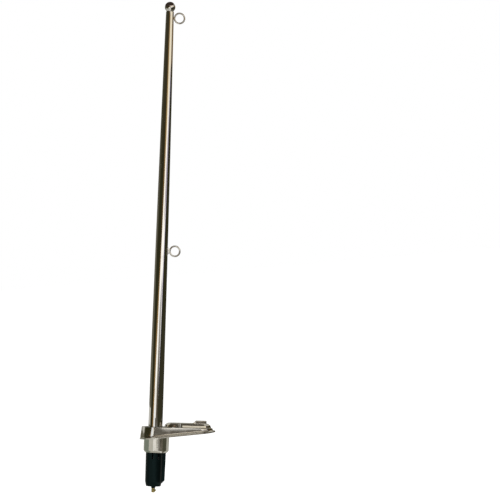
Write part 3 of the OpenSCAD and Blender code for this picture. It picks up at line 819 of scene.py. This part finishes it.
def tab_slot(side, across):
    """One slot beside a spring tab, with rounded ends; side and across are -1 or 1."""
    low, high = BARREL_END_W - TAB_SLOT_SHOW, BARREL_END_W + TAB_SLOT_HIDDEN
    x = across * TAB_SLOT_PITCH / 2
    piece = block("tab_slot", (x - TAB_SLOT_W / 2, SHANK_R / 2, low),
                  (x + TAB_SLOT_W / 2, SOCKET_R + 1, high))
    round_edges(piece, lambda edge: abs(edge.verts[0].co.y - edge.verts[1].co.y) > 2, 0.9, 4)
    return apply_place(piece, Matrix.Rotation(math.pi if side < 0 else 0, 4, "Z"))


def make_socket():
    """The black socket, with its bore, keyway, stud hole and tab slots."""
    piece = join(socket_outside(), socket_side_rib())
    bore = turned("bore", [(SHANK_R + SLIDE_GAP, BORE_FLOOR_W), (SHANK_R + SLIDE_GAP, LEDGE_W + 1),
                           (SHANK_R + SLIDE_GAP + 0.8, LEDGE_W + SOCKET_FLANGE_T),
                           (SHANK_R + SLIDE_GAP + 0.8, LEDGE_W + 9)])
    keyway = block("keyway", (0, -KEY_W / 2 - SLIDE_GAP, BORE_FLOOR_W),
                   (SHANK_R + KEY_H + SLIDE_GAP, KEY_W / 2 + SLIDE_GAP, 5))
    stud_hole = rod("stud_hole", STUD_R + PRESS_GAP, FOOT_W - 1, BORE_FLOOR_W + 1, 48)
    cut(piece, join(bore, keyway), stud_hole)
    for side in (-1, 1):
        cut(piece, tab_slot(side, -1), tab_slot(side, 1))
    return finish_piece(piece, SOCKET_AXIS, "base", SATIN_PLASTIC, "black_plastic", "socket_body",
                        smooth=35)


# The clamp screw stands square to the socket's axis, at the block's middle
BLOCK_MIDDLE = Matrix.Translation((0, 0, FOOT_W - BLOCK_H / 2))
CLAMP_PLACE = BLOCK_MIDDLE @ Matrix.Rotation(math.pi / 2, 4, "Y")


def make_terminal():
    """Brass terminal block with two grip grooves."""
    low = FOOT_W - BLOCK_H
    grooves = []
    for level in (low + 2.0, FOOT_W - 2.2):
        grooves += [(BLOCK_R, level - 0.35), (BLOCK_R - 0.3, level - 0.1),
                    (BLOCK_R - 0.3, level + 0.1), (BLOCK_R, level + 0.35)]
    profile = ([(BLOCK_R - 0.9, low), (BLOCK_R - 0.3, low + 0.35), (BLOCK_R, low + 0.9)] + grooves
               + [(BLOCK_R, FOOT_W - 0.3), (BLOCK_R - 0.3, FOOT_W)])
    piece = turned("terminal_barrel", profile, 72)
    cut(piece, rod("stud_hole", STUD_R + PRESS_GAP, low + 1 - PRESS_GAP, FOOT_W + 1, 48))
    cross_hole = rod("cross_hole", CLAMP_R + PRESS_GAP, STUD_R / 2, BLOCK_R + 1, 48)
    cut(piece, apply_place(cross_hole, CLAMP_PLACE))
    return finish_piece(piece, SOCKET_AXIS, "base", TURNED_BRASS, "brass", "terminal_block")


def make_clamp_screw():
    """The slotted screw in the terminal's side."""
    seat = BLOCK_R + PRESS_GAP
    top = seat + CLAMP_HEAD_T
    screw = turned("terminal_screw", [
        (CLAMP_R - 0.25, STUD_R + PRESS_GAP), (CLAMP_R, STUD_R + 0.3), (CLAMP_R, seat),
        (CLAMP_HEAD_R - 0.12, seat), (CLAMP_HEAD_R, seat + 0.15), (CLAMP_HEAD_R, top - 0.45),
        (CLAMP_HEAD_R - 0.2, top - 0.15), (CLAMP_HEAD_R - 0.6, top)], 48)
    cut(screw, block("slot", (-3, -0.3, top - 0.5), (3, 0.3, top + 1)))
    return finish_piece(screw, SOCKET_AXIS @ CLAMP_PLACE, "base", TURNED_BRASS, "brass",
                        "clamp_screw")


# ---------------------------------------------------------------- pole
def make_tube():
    """The tapered tube, with a rolled edge at its foot and a rounded one at its top."""
    steps = 90
    outside = [(tube_r(TUBE_LEN * i / steps), TUBE_LEN * i / steps) for i in range(1, steps)]
    outline = (
        arc((FOOT_R - 0.6, 0.6), 0.6, 270, 360, 5) + outside
        + [(tube_r(TUBE_LEN - 0.4), TUBE_LEN - 0.4), (TUBE_TOP_R - 0.15, TUBE_LEN - 0.08),
           (TUBE_TOP_R - 0.5, TUBE_LEN), (TUBE_TOP_R - TUBE_WALL, TUBE_LEN)]
        + [(r - TUBE_WALL, w) for r, w in reversed(outside[::6])]
        + [(FOOT_R - TUBE_WALL, 0)])
    return finish_piece(spun("tapered_tube", outline, 160), SOCKET_AXIS, "pole", MIRROR_TUBE,
                        "polished_tube", "pole_tube")


def make_plug():
    """Collar, keyed shank with two seal grooves, and a spigot up inside the tube."""
    tip = -PLUG_DEPTH
    grooves = []
    for level in (tip + 14, tip + 18):
        grooves += [(SHANK_R, level), (SHANK_R - 0.5, level + 0.3), (SHANK_R - 0.5, level + 1.3),
                    (SHANK_R, level + 1.6)]
    collar_r, inner_r = FOOT_R - COLLAR_STEP, FOOT_R - TUBE_WALL - PLUG_GAP
    top_r = tube_r(PLUG_IN_TUBE) - TUBE_WALL - PLUG_GAP
    profile = ([(SHANK_R - PLUG_BEVEL, tip), (SHANK_R - 0.3, tip + PLUG_BEVEL - 0.3),
                (SHANK_R, tip + PLUG_BEVEL + 0.4)] + grooves
               + [(SHANK_R, COLLAR_FOOT_W), (collar_r - 0.5, COLLAR_FOOT_W),
                  (collar_r, COLLAR_FOOT_W + 0.5), (collar_r, -0.3), (collar_r - 0.3, 0),
                  (inner_r, 0), (top_r, PLUG_IN_TUBE - 0.6), (top_r - 0.6, PLUG_IN_TUBE)])
    piece = turned("keyed_plug", profile)
    key = block("key", (0, -KEY_W / 2, tip + KEY_LIFT), (SHANK_R + KEY_H, KEY_W / 2, COLLAR_FOOT_W))
    round_edges(key, lambda edge: all(v.co.x > SHANK_R for v in edge.verts), 0.4, 2)
    return finish_piece(join(piece, key), SOCKET_AXIS, "pole", GLOSS_PLASTIC, "gloss_black",
                        "pole_plug")


def make_finial():
    """The ball, drawn in to a short neck with a small fillet, on its spigot in the tube."""
    neck_angle = -math.degrees(math.acos(NECK_R / BALL_R))
    spigot_r = TUBE_TOP_R - TUBE_WALL - PRESS_GAP
    profile = (
        [(spigot_r - 0.5, TUBE_LEN - SPIGOT_LEN), (spigot_r, TUBE_LEN - SPIGOT_LEN + 0.5),
         (spigot_r, TUBE_LEN), (NECK_R - 0.25, TUBE_LEN), (NECK_R, TUBE_LEN + 0.25),
         (NECK_R - 0.05, TUBE_LEN + NECK_H * 0.6), (NECK_R + 0.1, TUBE_LEN + NECK_H + 0.05)]
        + arc((0, BALL_W), BALL_R, neck_angle + 2.5, 89.5, 56))
    return finish_piece(turned("ball_finial", profile), SOCKET_AXIS, "pole", MIRROR_TUBE,
                        "polished_tube", "finial_ball", smooth=40)


def wire_ring(name):
    """A wire ring lying down, with a faint flat where the wire's ends meet."""
    piece = spun(name, arc((RING_R, 0), WIRE_R, 0, 360, 28)[:-1], 112)

    def press_seam():
        pick(piece, lambda vert: abs(math.atan2(vert.co.y, vert.co.x)) > math.radians(175), "verts")
        bpy.ops.transform.resize(value=(1, 1, 0.96), center_override=(-RING_R, 0, 0))

    return shape(piece, press_seam)


def ring_middle(node):
    """The middle of a ring's CAD node, as seen from the socket's axis."""
    low, high = corners(node)
    return along_pole((low + high) / 2)


def hang_ring(piece, node):
    """Stands a ring up in the plane of the pole and the base, where its CAD node is."""
    upright = Matrix.Translation(ring_middle(node)) @ Matrix.Rotation(math.pi / 2, 4, "X")
    return finish_piece(piece, SOCKET_AXIS @ upright, "pole", RING_WIRE, "ring_steel", node)


def make_upper_weld():
    """The bead that holds the upper ring: a lens of weld metal, drawn out along the pole."""
    level = ring_middle("upper_ring").z
    bpy.ops.object.select_all(action="DESELECT")
    bpy.ops.mesh.primitive_uv_sphere_add(segments=48, ring_count=32, radius=WELD_R)
    piece = named("upper_weld_bead")

    def draw_out():
        bpy.ops.mesh.select_all(action="SELECT")
        bpy.ops.transform.resize(value=(0.55, 0.72, 0.98), center_override=(0, 0, 0))
        for lift, dent in ((1.2, -0.12), (-0.9, 0.1), (0.2, -0.08)):
            pick(piece, lambda vert: abs(vert.co.z - lift) < 0.35, "verts")
            bpy.ops.transform.translate(value=(dent, 0, 0))
        bpy.ops.mesh.select_all(action="SELECT")
        bpy.ops.mesh.vertices_smooth(factor=0.5, repeat=3)

    shape(piece, draw_out)
    shift(piece, tube_r(level) + 0.75, 0, level)
    return finish_piece(piece, SOCKET_AXIS, "pole", WELD_BEAD, "weld_steel", "upper_ring_weld",
                        smooth=60)


def make_lower_tab():
    """The small tab that carries the lower ring, narrowing from the pole to the wire."""
    middle = ring_middle("lower_ring")
    level, near, far = middle.z, tube_r(middle.z) + PRESS_GAP, middle.x - RING_R
    piece = block("lower_tab", (near, -TAB_T / 2, level - TAB_HALF),
                  (far, TAB_T / 2, level + TAB_HALF))

    def narrow():
        pick(piece, lambda vert: vert.co.x > (near + far) / 2, "verts")
        bpy.ops.transform.resize(value=(1, 1, TAB_END_HALF / TAB_HALF),
                                 center_override=(far, 0, level))

    def sloping(edge):
        first, second = (vert.co for vert in edge.verts)
        return first.y * second.y > 0 and abs(first.x - second.x) > 1

    round_edges(shape(piece, narrow), sloping, 0.6, 4)
    return finish_piece(piece, SOCKET_AXIS, "pole", RING_WIRE, "ring_steel", "lower_ring_tab")


def finish_fittings():
    """Gives the small CAD pieces that stay as they are their metals."""
    for node, material in (("contact_stud", TURNED_BRASS), ("pivot_screw", TURNED_STEEL),
                           ("spring_washer", TURNED_STEEL)):
        mesh = frame["nodes"][node].data
        mesh.materials.clear()
        mesh.materials.append(material)


# ---------------------------------------------------------------- studio
# A bearing is in degrees round the object, positive to the camera's right. The base's flat side
# mirrors what stands at bearing 0 to the camera, which itself stands at about -17.
CAMERA_YAW = math.radians(8.64)
CAMERA_RISE = math.radians(0.67)
CAMERA_ROLL = math.radians(-4.91)
CAMERA_DISTANCE, SENSOR_W, VIEW_HALF_WIDTH = 4.5, 36, 0.4481
AIM_HEIGHT = 380
# Where the aim point stands in the picture, as shares of half its width
AIM_LEFT, AIM_UP = 0.3487, 0.1417

FLOOR = CAD_BOX[0].z - 0.012
FLOOR_R = 30
LAMP_DISTANCE, LAMP_AIM = 2.4, Vector((0, 0, 0.25))


def blank_material(name):
    """A new material without nodes; returned with its nodes and links."""
    material = bpy.data.materials.new(name)
    material.use_nodes = True
    nodes, links = material.node_tree.nodes, material.node_tree.links
    nodes.clear()
    return material, nodes, links


def glowing(name, colour):
    """A plain glowing material for what only shows in reflections."""
    material, nodes, links = blank_material(name)
    glow, out = nodes.new("ShaderNodeEmission"), nodes.new("ShaderNodeOutputMaterial")
    glow.inputs["Color"].default_value = (*colour, 1)
    links.new(glow.outputs[0], out.inputs[0])
    return material


def bearing_point(bearing, distance, height):
    """A point of the studio, from its bearing, its distance from the object and its height."""
    turn = math.radians(bearing) + CAMERA_YAW
    return Vector((math.sin(turn) * distance, -math.cos(turn) * distance, height))


def card(name, colour, first, second, steps):
    """A studio card between two arcs, each (start, end, distance, height): seen only in gloss."""
    bpy.ops.object.select_all(action="DESELECT")
    bpy.ops.mesh.primitive_plane_add(size=1)
    piece = named(name)

    def clear():
        bpy.ops.mesh.select_mode(type="VERT")
        bpy.ops.mesh.select_all(action="SELECT")
        bpy.ops.mesh.delete(type="VERT")

    def draw(start, end, distance, height):
        points = [bearing_point(start + (end - start) * i / steps, distance, height)
                  for i in range(steps + 1)]
        bpy.ops.mesh.select_all(action="DESELECT")
        mesh = bmesh.from_edit_mesh(piece.data)
        mesh.verts.new(points[0]).select_set(True)
        bmesh.update_edit_mesh(piece.data)
        for here, there in zip(points, points[1:]):
            bpy.ops.mesh.extrude_region_move(TRANSFORM_OT_translate={"value": there - here})

    def bridge():
        bpy.ops.mesh.select_all(action="SELECT")
        bpy.ops.mesh.bridge_edge_loops()

    shape(piece, clear, lambda: draw(*first), lambda: draw(*second), bridge)
    piece.data.materials.append(glowing(name, colour))
    for ray in ("camera", "diffuse", "transmission", "volume_scatter", "shadow"):
        setattr(piece, "visible_" + ray, False)


def standing_card(name, colour, distance, foot, head):
    """A standing card; its foot and its head are each (start, end, height)."""
    card(name, colour, (*foot[:2], distance, foot[2]), (*head[:2], distance, head[2]), 16)


def lying_card(name, colour, height, start, end, inner, outer):
    """A flat card between two bearings and two distances from the object."""
    card(name, colour, (start, end, inner, height), (start, end, outer, height), 32)


# The window in front of the object, from its foot up: left edge, right edge, height, and how far
# the golden glow reaches past its left edge
WINDOW = [(-56, 8, FLOOR, 8), (-53, 25, 0.12, 20), (-29, 49, 0.42, 34), (0, 60, 0.65, 34),
          (5, 68, 1.0, 28), (-50, 75, 1.9, 16)]
PANE_LIGHT = [(1.2, 1.17, 1.15), (1.5, 1.47, 1.45), (1.6, 1.53, 1.44), (1.2, 1.08, 0.85),
              (1.05, 0.98, 0.86)]
POST_BLUE, POST_W = (0.06, 0.06, 0.15), 8
GLOW_GOLD, GLOW_BROWN, GOLD_SHARE = (0.48, 0.31, 0.12), (0.19, 0.12, 0.05), 0.6

# The screen across the window's foot: its levels, and its tones from the floor up
SCREEN_LEVELS = [FLOOR, -0.06, -0.01, 0.04, 0.09, 0.14, 0.20, 0.27]
SCREEN_TONES = [(0.10, 0.080, 0.058), (0.14, 0.12, 0.10), (0.19, 0.175, 0.155),
                (0.26, 0.245, 0.23), (0.35, 0.34, 0.33), (0.46, 0.45, 0.45), (0.58, 0.57, 0.59)]
SCREEN_LEFT, SCREEN_RIGHT = -14, 9

# How far from the object the standing cards are: the screen, the layers before the panes, the
# panes themselves, and the walls
SCREEN_AT, POST_AT, VEIL_AT, GLOW_AT, OUTER_GLOW_AT = 2.5, 2.55, 2.56, 2.57, 2.58
PANE_AT, INNER_WALL_AT, BACK_WALL_AT, OUTER_WALL_AT = 2.6, 2.65, 2.7, 2.75
LILAC = (0.60, 0.56, 0.67)

# Name, colour, distance, (start, end, height) of the foot, and the same of the head
STANDING_CARDS = [
    ("window_veil_low", LILAC, VEIL_AT, (12, 25, 0.12), (9, 55, 0.42)),
    ("window_veil_high", LILAC, VEIL_AT, (9, 55, 0.42), (46, 60, 0.65)),
    ("window_blind", (0.26, 0.06, 0.045), PANE_AT, (-50, 75, 1.9), (-50, 75, 2.2)),
    ("window_bar", (0.36, 0.33, 0.24), SCREEN_AT, (-18, -14, FLOOR), (-16, -12, 0.25)),
    # Close to the base
    ("near_board", (0.72, 0.70, 0.65), 0.12, (-86, -58, FLOOR), (-86, -58, 0.008)),
    ("near_board_dark", (0.27, 0.31, 0.26), 0.12, (-132, -86, FLOOR), (-132, -86, 0.008)),
    ("near_board_head", (0.74, 0.73, 0.70), 0.15, (-184, -106, 0.03), (-184, -106, 0.062)),
    ("near_shade", (0.15, 0.14, 0.12), 0.13, (-43, -15, 0.002), (-43, -15, 0.034)),
    ("near_light_low", (1.3, 1.42, 1.48), 0.2, (-64, -50, FLOOR), (-64, -50, -0.012)),
    ("near_light", (1.2, 1.25, 1.35), 0.13, (-57, -48, 0.002), (-59, -47, 0.055)),
    # The walls
    ("dark_wall", (0.036, 0.034, 0.015), OUTER_WALL_AT, (-112, 135, FLOOR), (-124, 135, 1.0)),
    ("dark_wall_head", (0.05, 0.042, 0.022), OUTER_WALL_AT, (-95, 100, 1.0), (-95, 100, 3.0)),
    ("brown_wall", (0.24, 0.16, 0.07), INNER_WALL_AT, (62, 135, 0.62), (70, 135, 1.2)),
    ("pale_board_left", (0.66, 0.66, 0.61), PANE_AT, (-182, -93, FLOOR), (-182, -100, 0.06)),
    ("grey_wall_left", (0.17, 0.16, 0.12), PANE_AT, (-182, -100, 0.06), (-182, -124, 1.2)),
    ("grey_wall_right", (0.30, 0.29, 0.25), PANE_AT, (135, 180, FLOOR), (135, 180, 1.0)),
    ("pale_wall_back", (0.62, 0.61, 0.56), BACK_WALL_AT, (100, 205, 1.0), (100, 205, 3.0)),
    ("dark_wall_back", (0.07, 0.065, 0.04), OUTER_GLOW_AT, (205, 265, 0.75), (205, 265, 3.0))]

ON_FLOOR = FLOOR + 0.002
CENTRE, TABLE, NEAR, FAR = 0.001, 0.75, 1.6, 2.6
PALE, DARK = (0.60, 0.59, 0.54), (0.045, 0.042, 0.024)

# Name, colour, height, first and last bearing, inner and outer distance
LYING_CARDS = [
    ("floor_near_left", PALE, ON_FLOOR, -145, -29, CENTRE, NEAR),
    ("floor_near_light", (1.15, 1.14, 1.12), ON_FLOOR, -29, -5, CENTRE, NEAR),
    ("floor_near_grey", (0.36, 0.34, 0.31), ON_FLOOR, -5, 9, CENTRE, NEAR),
    ("table_brown", (0.22, 0.20, 0.16), ON_FLOOR, 9, 39, CENTRE, TABLE),
    ("table_dark", (0.10, 0.10, 0.07), ON_FLOOR, 39, 87, CENTRE, TABLE),
    ("table_back", PALE, ON_FLOOR, 87, 215, CENTRE, TABLE),
    ("floor_near_right", DARK, ON_FLOOR, 9, 150, TABLE, NEAR),
    ("floor_near_back", (0.50, 0.49, 0.44), ON_FLOOR, 150, 215, TABLE, NEAR),
    ("floor_by_window", (1.05, 1.02, 0.98), ON_FLOOR, -56, -18, NEAR, FAR),
    ("floor_bar", (0.30, 0.27, 0.20), ON_FLOOR, -18, -14, NEAR, FAR),
    ("floor_by_screen", (0.11, 0.088, 0.062), ON_FLOOR, -14, 9, NEAR, FAR),
    ("floor_side", (0.045, 0.040, 0.026), ON_FLOOR, -93, -56, NEAR, FAR),
    ("floor_left", (0.55, 0.55, 0.50), ON_FLOOR, -180, -93, NEAR, FAR),
    ("floor_right", DARK, ON_FLOOR, 9, 180, NEAR, OUTER_WALL_AT),
    ("ceiling", (0.10, 0.085, 0.065), 3.0, -180, 180, 1.0, OUTER_WALL_AT),
    ("ceiling_light", (0.92, 0.89, 0.82), 2.98, -180, 180, CENTRE, 1.0),
    ("dark_hood", (0.05, 0.035, 0.028), 0.80, -180, 180, CENTRE, 0.10)]


def window():
    """Bright panes, each with a dark post on its right and a golden glow on its left."""
    for i, (foot, head, light) in enumerate(zip(WINDOW, WINDOW[1:], PANE_LIGHT), 1):
        left, right, low, glow = foot
        head_left, head_right, high, head_glow = head

        def beside(name, colour, distance, start, end, head_start, head_end):
            standing_card("%s_%d" % (name, i), colour, distance, (start, end, low),
                          (head_start, head_end, high))

        beside("window_pane", light, PANE_AT, left, right, head_left, head_right)
        beside("window_right_post", POST_BLUE, POST_AT, right, right + POST_W,
               head_right, head_right + POST_W)
        beside("window_glow", GLOW_GOLD, GLOW_AT, left - glow * GOLD_SHARE, left,
               head_left - head_glow * GOLD_SHARE, head_left)
        beside("window_outer_glow", GLOW_BROWN, OUTER_GLOW_AT, left - glow, left,
               head_left - head_glow, head_left)


def screen():
    """The screen across the window's foot, paler towards its head."""
    for i, tone in enumerate(SCREEN_TONES):
        low, high = SCREEN_LEVELS[i:i + 2]
        standing_card("low_screen_%d" % (i + 1), tone, SCREEN_AT, (SCREEN_LEFT, SCREEN_RIGHT, low),
                      (SCREEN_LEFT, SCREEN_RIGHT, high))


def room():
    """The other cards: boards near the base, walls, floor and ceiling."""
    for row in STANDING_CARDS:
        standing_card(*row)
    for row in LYING_CARDS:
        lying_card(*row)


def studio_floor():
    """A wide pale floor just under the object: white, with the object's soft shadow."""
    bpy.ops.object.select_all(action="DESELECT")
    bpy.ops.mesh.primitive_circle_add(vertices=96, radius=FLOOR_R, fill_type="NGON",
                                      location=(0, 0, FLOOR))
    floor = named("studio_floor")
    bpy.ops.object.transform_apply(location=True, rotation=False, scale=False)
    material, nodes, links = blank_material("studio_floor")
    diffuse, glow = nodes.new("ShaderNodeBsdfDiffuse"), nodes.new("ShaderNodeEmission")
    both, out = nodes.new("ShaderNodeAddShader"), nodes.new("ShaderNodeOutputMaterial")
    rays = nodes.new("ShaderNodeLightPath")
    diffuse.inputs["Color"].default_value = (0.86, 0.86, 0.86, 1)
    links.new(rays.outputs["Is Camera Ray"], glow.inputs["Strength"])
    glow.inputs["Color"].default_value = (0.45, 0.45, 0.45, 1)
    links.new(diffuse.outputs[0], both.inputs[0])
    links.new(glow.outputs[0], both.inputs[1])
    links.new(both.outputs[0], out.inputs[0])
    floor.data.materials.append(material)


def studio_world():
    """White to the camera and in reflections, plain soft light otherwise."""
    world = bpy.data.worlds.new("studio")
    bpy.context.scene.world = world
    world.use_nodes = True
    nodes, links = world.node_tree.nodes, world.node_tree.links
    background = nodes["Background"]
    rays = nodes.new("ShaderNodeLightPath").outputs
    shown = rays["Is Camera Ray"]
    for ray in ("Is Glossy Ray", "Is Transmission Ray"):
        either = nodes.new("ShaderNodeMath")
        either.operation = "MAXIMUM"
        links.new(shown, either.inputs[0])
        links.new(rays[ray], either.inputs[1])
        shown = either.outputs[0]
    level = nodes.new("ShaderNodeMapRange")
    level.inputs["To Min"].default_value = 0.72
    level.inputs["To Max"].default_value = 1.0
    links.new(shown, level.inputs["Value"])
    links.new(level.outputs[0], background.inputs["Strength"])
    background.inputs["Color"].default_value = (1, 1, 1, 1)


def lamp(name, bearing, height, size, power):
    """A soft square lamp, aimed at the pole's lower half; it doesn't show in gloss."""
    light = bpy.data.lights.new(name, "AREA")
    light.shape, light.size, light.energy = "SQUARE", size, power
    holder = bpy.data.objects.new(name, light)
    bpy.context.scene.collection.objects.link(holder)
    holder.location = bearing_point(bearing, LAMP_DISTANCE, height)
    holder.rotation_euler = (LAMP_AIM - holder.location).to_track_quat("-Z", "Y").to_euler()
    holder.visible_glossy = False


def camera():
    """The camera, on the bearing, rise and roll of the chosen view."""
    toward = Vector((math.sin(CAMERA_YAW) * math.cos(CAMERA_RISE),
                     math.cos(CAMERA_YAW) * math.cos(CAMERA_RISE), math.sin(CAMERA_RISE)))
    right = toward.cross(Vector((0, 0, 1))).normalized()
    up = right.cross(toward)
    right, up = (right * math.cos(CAMERA_ROLL) + up * math.sin(CAMERA_ROLL),
                 up * math.cos(CAMERA_ROLL) - right * math.sin(CAMERA_ROLL))
    half = VIEW_HALF_WIDTH / CAMERA_DISTANCE
    forward = (toward + right * half * AIM_LEFT - up * half * AIM_UP).normalized()
    right = (right - forward * right.dot(forward)).normalized()
    up = right.cross(forward)
    data = bpy.data.cameras.new("camera")
    data.sensor_width = SENSOR_W
    data.lens = SENSOR_W / 2 / half
    data.clip_start, data.clip_end = 0.05, 60
    holder = bpy.data.objects.new("camera", data)
    bpy.context.scene.collection.objects.link(holder)
    place = Matrix((right, up, -forward)).transposed().to_4x4()
    place.translation = SOCKET_AXIS @ Vector((0, 0, AIM_HEIGHT)) - toward * CAMERA_DISTANCE
    holder.matrix_world = place
    bpy.context.scene.camera = holder


# ---------------------------------------------------------------- making it
make_base()
make_cover()
make_socket()
make_terminal()
make_clamp_screw()
make_tube()
make_plug()
make_finial()
upper_flag_ring = wire_ring("upper_flag_ring")
make_upper_weld()
lower_flag_ring = copied(upper_flag_ring, "lower_flag_ring")
hang_ring(upper_flag_ring, "upper_ring")
hang_ring(lower_flag_ring, "lower_ring")
make_lower_tab()
finish_fittings()

camera()
studio_floor()
studio_world()
lamp("key_lamp", -32, 1.6, 1.2, 26)
lamp("fill_lamp", 55, 1.1, 1.4, 12)
window()
screen()
room()
bpy.context.scene.view_settings.view_transform = "Standard"
